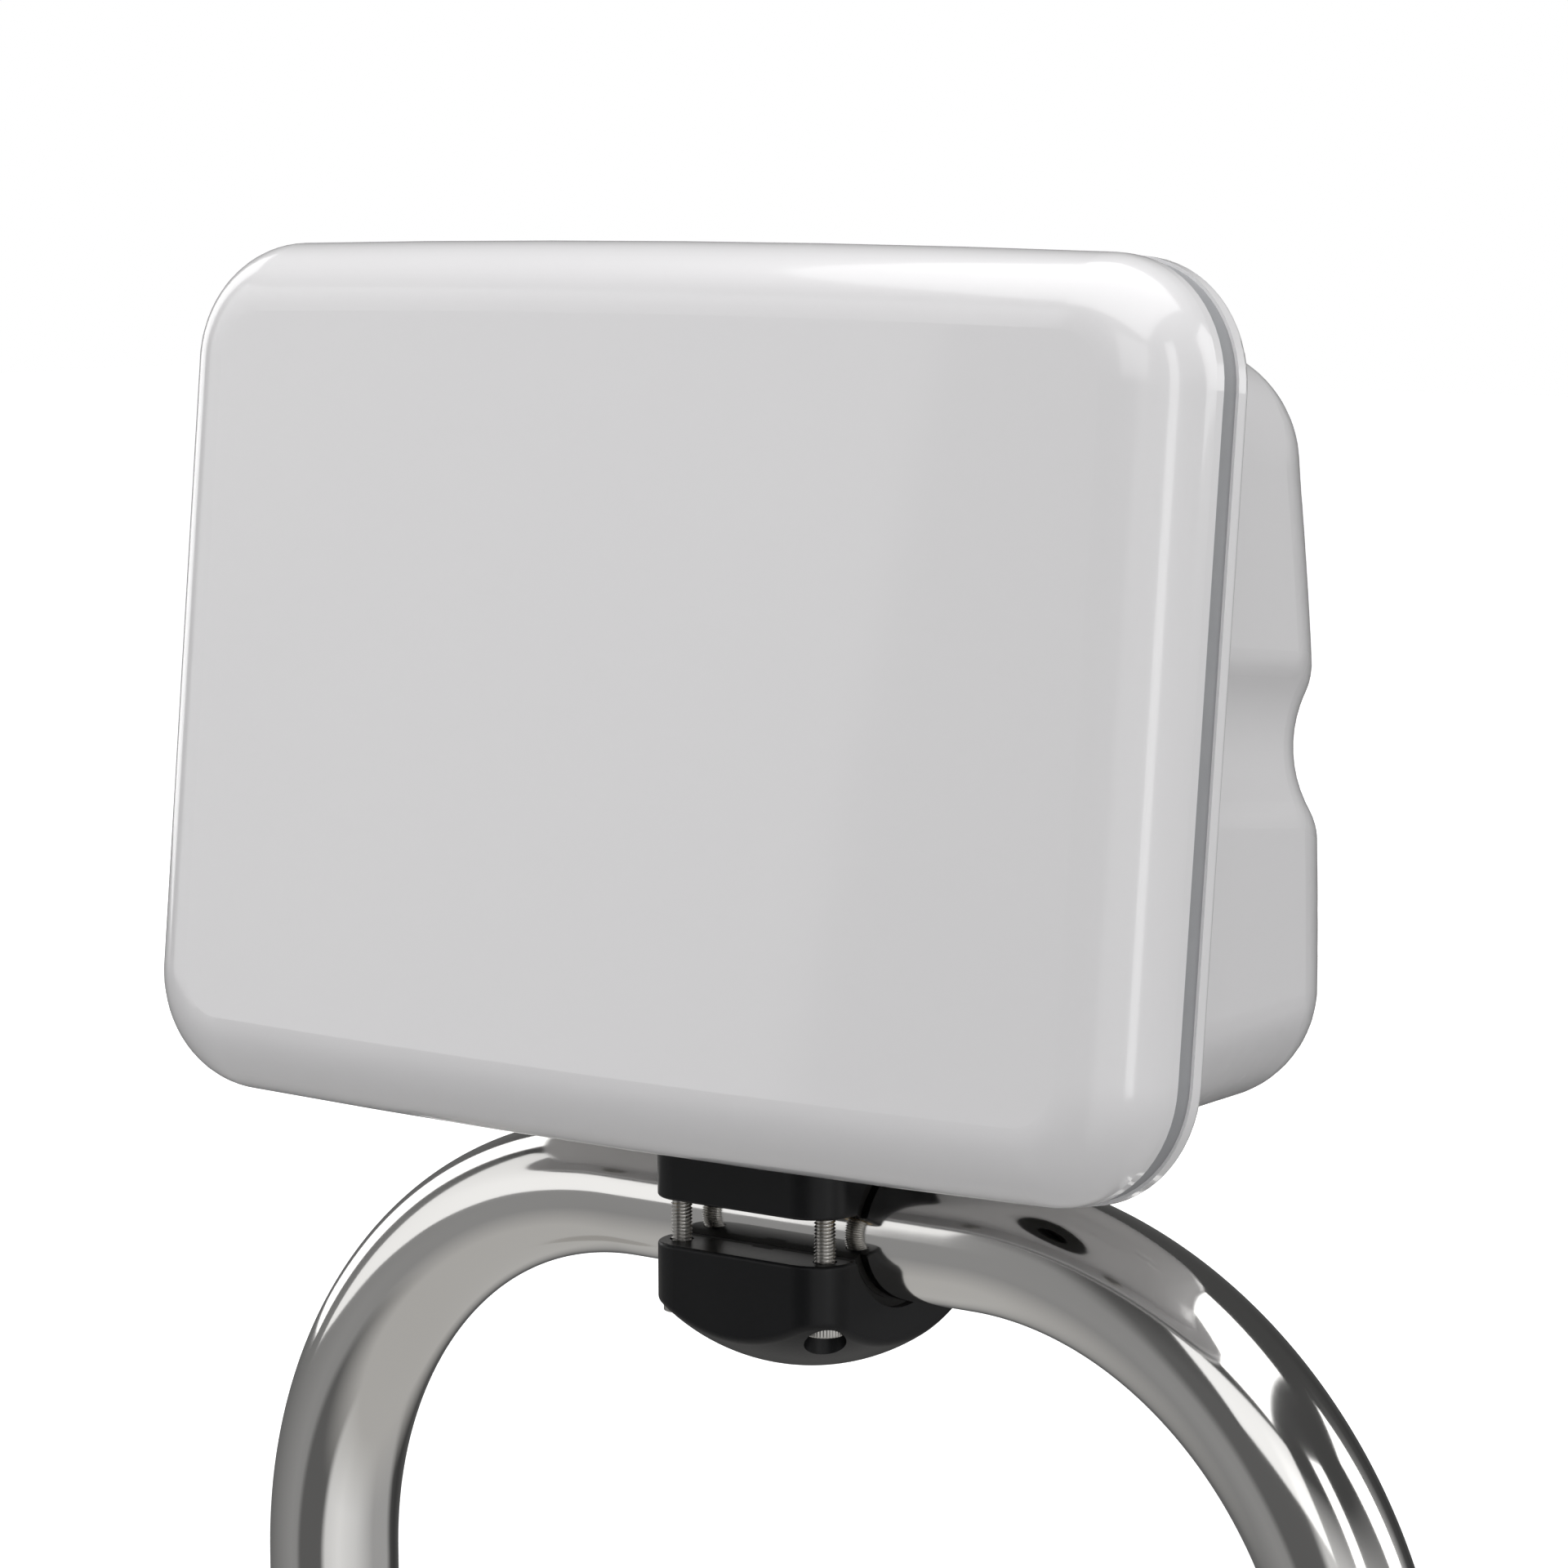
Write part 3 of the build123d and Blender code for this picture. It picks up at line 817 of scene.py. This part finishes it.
# %% Floor, bright to the eye and mild as a light
FLOOR_SIZE = 12.0
PAPER_GREY = (0.42, 0.42, 0.42, 1)
NEAR_GLOW = 0.62
FAR_GLOW = 1.02
NEAR = 0.15
FAR = 0.36
start()
bpy.ops.mesh.primitive_plane_add(size=FLOOR_SIZE, location=(0, 0, hoop_low.z))
floor = bpy.context.object
floor.name = "studio_floor"
paper = Finish("studio_paper", Base_Color=PAPER_GREY, Roughness=0.9, Specular_IOR_Level=0.0)
away = paper.node(
    "ShaderNodeVectorMath",
    {"operation": "LENGTH"},
    {0: paper.node("ShaderNodeTexCoord", output="Object")},
    output="Value",
)
brightness = NEAR_GLOW + paper.band(away, NEAR, FAR) * (FAR_GLOW - NEAR_GLOW)
glow = paper.node("ShaderNodeEmission", {}, {"Color": (1, 1, 1, 1), "Strength": brightness})
plain = Wire(paper, paper.shader.outputs[0])
lit = paper.node("ShaderNodeAddShader", {}, {0: glow, 1: plain})
seen = paper.node("ShaderNodeLightPath", output="Is Camera Ray")
shown = paper.node("ShaderNodeMixShader", {}, {0: seen, 1: plain, 2: lit})
paper.tree.links.new(shown.socket, paper.tree.nodes["Material Output"].inputs["Surface"])
floor.data.materials.append(paper.material)
floor.visible_glossy = False
print("floor:", FLOOR_SIZE, "m square, at", round(floor.location.z, 4))

# %% [markdown]
# ## The room
#
# A polished tube looks like steel only where light and dark stand side by side in it, so the world
# isn't one colour. A ramp round the horizon gives it walls: a bright one behind the camera, dimmer
# ones to the left and the right, and dark ones at the back and straight before the pod. The ceiling
# is nearly black, and far below it is mid grey. A direction in the world is its own texture
# coordinate, so its angle round the horizon is one arctangent. The camera itself looks past all
# this at plain white, by a mix on the kind of ray.

# %% The room: white to the camera, and a real studio's walls to everything else
class Surroundings(Finish):
    """The same node language, on the world's tree."""

    def __init__(self, name):
        world = bpy.data.worlds.new(name)
        world.use_nodes = True
        bpy.context.scene.world = world
        self.tree = world.node_tree


CEILING = (0.07, 0.07, 0.07)
GROUND = (0.52, 0.513, 0.50)
# How grey the wall is at an angle round the horizon, in degrees to the right of straight ahead.
WALLS = (
    (-180, 0.05), (-112, 0.16), (-40, 0.32), (-28, 0.31), (-20, 0.13), (18, 0.13), (26, 0.78),
    (50, 0.90), (82, 0.74), (118, 0.42), (152, 0.42), (166, 0.07), (180, 0.05),
)
surroundings = Surroundings("studio")
direction = surroundings.node("ShaderNodeTexCoord", output="Generated")
x, y, z = (
    surroundings.node("ShaderNodeSeparateXYZ", {}, {0: direction}, output=axis) for axis in "XYZ"
)
azimuth = surroundings.node("ShaderNodeMath", {"operation": "ARCTAN2"}, {0: x, 1: 0 - y})
wall = surroundings.node(
    "ShaderNodeValToRGB",
    {"stops": [((degrees + 180) / 360, grey) for degrees, grey in WALLS]},
    {0: azimuth / math.tau + 0.5},
)
above = surroundings.band(z, 0.20, 0.55)
below = surroundings.band(0 - z, 0.45, 0.75)
grey = surroundings.mix(below, surroundings.mix(above, wall, CEILING), GROUND)
room = surroundings.node("ShaderNodeBackground", {}, {"Color": grey})
backdrop = surroundings.node("ShaderNodeBackground", {}, {"Color": (1, 1, 1, 1)})
camera_ray = surroundings.node("ShaderNodeLightPath", output="Is Camera Ray")
either = surroundings.node("ShaderNodeMixShader", {}, {0: camera_ray, 1: room, 2: backdrop})
surroundings.tree.links.new(
    either.socket, surroundings.tree.nodes["World Output"].inputs["Surface"]
)
bpy.context.scene.view_settings.view_transform = "Standard"
print("walls:", len(WALLS), "greys round the horizon")

# %% [markdown]
# ## The lights
#
# A white object on white gets its shape from soft edges of light, so every lamp is a rectangle. A
# wide one overhead whitens the top edge. Two on the left and one behind the camera keep the side and
# the face even. A narrow one on the right draws the streak down the rounded corner, and one at the
# back on the right lifts the far side off the backdrop. A lamp is given by how bright it looks in a
# reflection, since that is what the eye judges, and its power follows from its area.

# %% Soft lights
POD_CENTRE = (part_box("front_shell")[0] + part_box("rear_shell")[1]) / 2


def soft_light(name, place, size, radiance):
    """A rectangle of even brightness that looks at the pod. Its power follows from its size."""
    lamp = bpy.data.lights.new(name, "AREA")
    lamp.shape = "RECTANGLE"
    lamp.size, lamp.size_y = size
    lamp.energy = radiance * math.pi * size[0] * size[1]
    holder = bpy.data.objects.new(name, lamp)
    holder.location = place
    holder.rotation_euler = (POD_CENTRE - Vector(place)).to_track_quat("-Z", "Y").to_euler()
    bpy.context.scene.collection.objects.link(holder)


soft_light("overhead", (0.0, -0.3, 2.0), (2.6, 2.6), 2.1)
soft_light("left_front", (-2.3, -1.6, 0.9), (2.0, 2.0), 0.86)
soft_light("left_rear", (-1.9, 0.3, 0.8), (0.8, 1.6), 1.6)
soft_light("right_strip", (1.9, -0.6, 0.7), (0.45, 1.8), 2.3)
soft_light("right_rear", (1.6, 1.5, 0.9), (1.0, 1.4), 2.1)
soft_light("behind_camera", (0.9, -2.6, 1.5), (2.0, 1.2), 1.1)

# %% [markdown]
# ## The camera
#
# A long lens from over a metre away, a little above the pod and well round to its right, shows the
# face and one side with almost parallel edges. It leans by a fifth of a degree, as a camera in the
# hand does.

# %% Camera
AZIMUTH = math.radians(39.096)
RISE = math.radians(6.81)
DISTANCE = 1.193  # metres
LENS = 121.44  # millimetres
ROLL = math.radians(0.22)
AIM = Vector((-0.0047, -0.0037, TUBE_Z + 0.0986))
back = Vector((
    math.sin(AZIMUTH) * math.cos(RISE),
    -math.cos(AZIMUTH) * math.cos(RISE),
    math.sin(RISE),
))
camera_data = bpy.data.cameras.new("camera")
camera_data.lens = LENS
camera = bpy.data.objects.new("camera", camera_data)
camera.location = AIM + back * DISTANCE
turn = (-back).to_track_quat("-Z", "Y").to_matrix() @ Matrix.Rotation(-ROLL, 3, "Z")
camera.rotation_euler = turn.to_euler()
bpy.context.scene.collection.objects.link(camera)
bpy.context.scene.camera = camera
